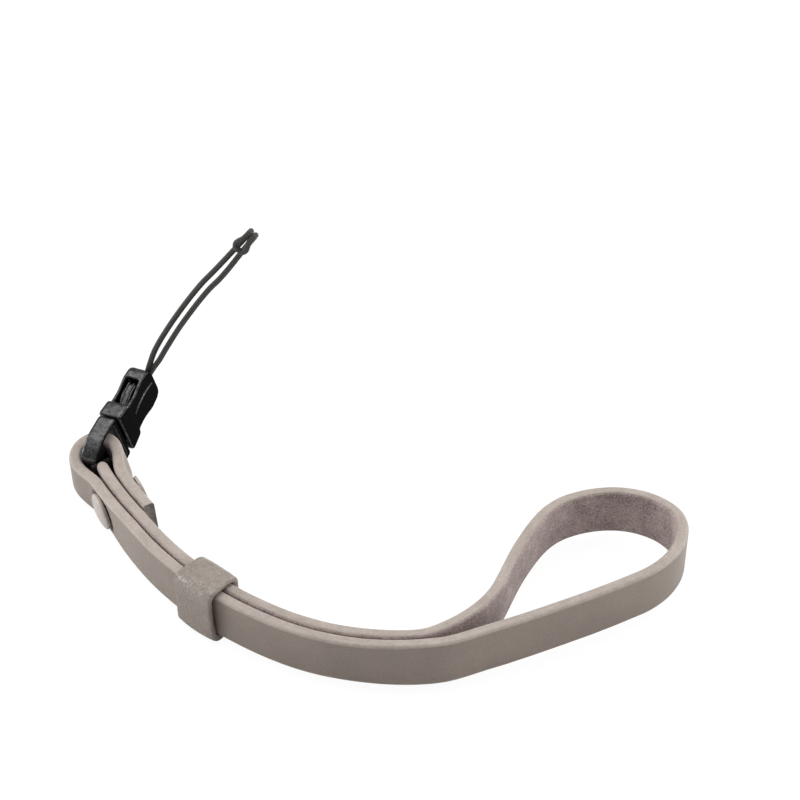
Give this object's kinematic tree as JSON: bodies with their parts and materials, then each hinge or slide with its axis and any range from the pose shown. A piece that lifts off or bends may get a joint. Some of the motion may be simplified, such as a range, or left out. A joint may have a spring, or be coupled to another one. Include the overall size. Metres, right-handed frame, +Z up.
{
  "type": "camera wrist strap",
  "caption": "Leather wrist strap with a teardrop hand loop, sliding keeper, rivet, side-release buckle and a thin cord for a camera lug.",
  "frame": {"origin": "middle of the camera's lug eye that the cord is hitched to", "axes": "+Z up with the strap's lower edge level below; +X towards the end of the hand loop; +Y away from the outer curve of the doubled run"},
  "size_m": [0.1155, 0.0729, 0.0522],
  "materials": {
    "strap_leather": "smooth grain outside, suede inside",
    "keeper_leather": "fine grain",
    "rivet_paint": "satin",
    "buckle_plastic": "satin",
    "cord_fabric": "braided"
  },
  "bodies": {
    "strap": {"hand_strap": "strap_leather", "rivet_front_cap": "rivet_paint", "rivet_back_cap": "rivet_paint", "buckle_plug": "buckle_plastic", "buckle_socket": "buckle_plastic", "cord_loop": "cord_fabric"},
    "keeper": {"keeper": "keeper_leather"}
  },
  "joints": [
    {"name": "keeper_slide", "type": "hinge", "parent": "strap", "child": "keeper", "pos_m": [0.0417, 0.0013, -0.0436], "axis": [0, 0, 1], "range_deg": [-10, 10]}
  ]
}
